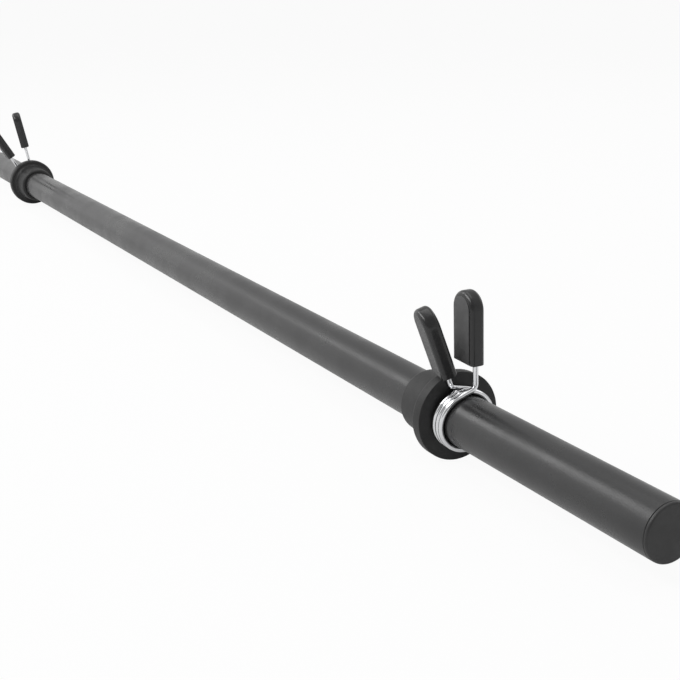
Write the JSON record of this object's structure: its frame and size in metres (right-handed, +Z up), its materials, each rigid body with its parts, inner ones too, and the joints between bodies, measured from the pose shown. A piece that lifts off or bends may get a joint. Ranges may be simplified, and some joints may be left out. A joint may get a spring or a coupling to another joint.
{
  "type": "barbell",
  "caption": "Straight round bar with a capped sleeve at each end, a flanged stop for plates and a sprung wire clip with flat squeeze grips outside each stop.",
  "frame": {"origin": "middle of the bar's axis, halfway between its two end caps", "axes": "+X along the bar's axis towards its right end, +Z up through the clips' handles, +Y away from the side seen in the picture"},
  "size_m": [1.3, 0.0723, 0.1095],
  "materials": {
    "bar_paint": "fine matt powder coat",
    "cap_plastic": "satin moulded",
    "stop_plastic": "matt moulded",
    "screw_steel": "dark oiled",
    "clip_wire": "bright plated",
    "grip_plastic": "smooth, half gloss"
  },
  "bodies": {
    "bar": {"bar_tube": "bar_paint", "left_end_cap": "cap_plastic", "right_end_cap": "cap_plastic", "left_stop": "stop_plastic", "right_stop": "stop_plastic", "left_stop_screw": "screw_steel", "right_stop_screw": "screw_steel"},
    "left_clip": {"left_clip_coil": "clip_wire"},
    "left_inner_handle": {"left_clip_inner_leg": "clip_wire", "left_clip_inner_grip": "grip_plastic"},
    "left_outer_handle": {"left_clip_outer_leg": "clip_wire", "left_clip_outer_grip": "grip_plastic"},
    "right_clip": {"right_clip_coil": "clip_wire"},
    "right_inner_handle": {"right_clip_inner_leg": "clip_wire", "right_clip_inner_grip": "grip_plastic"},
    "right_outer_handle": {"right_clip_outer_leg": "clip_wire", "right_clip_outer_grip": "grip_plastic"}
  },
  "joints": [
    {"name": "left_clip_slide", "type": "slide", "parent": "bar", "child": "left_clip", "axis": [-1, 0, 0], "range_m": [0, 0.2]},
    {"name": "left_inner_squeeze", "type": "hinge", "parent": "left_clip", "child": "left_inner_handle", "pos_m": [-0.47725, 0, 0], "axis": [1, 0, 0], "range_deg": [0, 3.5], "stiffness_Nm_per_rad": 5.7, "springref_deg": -2.86, "deforming": ["left_clip_coil"]},
    {"name": "left_outer_squeeze", "type": "hinge", "parent": "left_clip", "child": "left_outer_handle", "pos_m": [-0.48677, 0, 0], "axis": [-1, 0, 0], "range_deg": [0, 3.5], "stiffness_Nm_per_rad": 5.7, "springref_deg": -2.86, "deforming": ["left_clip_coil"]},
    {"name": "right_clip_slide", "type": "slide", "parent": "bar", "child": "right_clip", "axis": [1, 0, 0], "range_m": [0, 0.2]},
    {"name": "right_inner_squeeze", "type": "hinge", "parent": "right_clip", "child": "right_inner_handle", "pos_m": [0.47725, 0, 0], "axis": [-1, 0, 0], "range_deg": [0, 3.5], "stiffness_Nm_per_rad": 5.7, "springref_deg": -2.86, "deforming": ["right_clip_coil"]},
    {"name": "right_outer_squeeze", "type": "hinge", "parent": "right_clip", "child": "right_outer_handle", "pos_m": [0.48677, 0, 0], "axis": [1, 0, 0], "range_deg": [0, 3.5], "stiffness_Nm_per_rad": 5.7, "springref_deg": -2.86, "deforming": ["right_clip_coil"]}
  ],
  "couplings": [
    {"joint": "left_outer_squeeze", "follows": "left_inner_squeeze", "ratio": 1},
    {"joint": "right_outer_squeeze", "follows": "right_inner_squeeze", "ratio": 1}
  ]
}
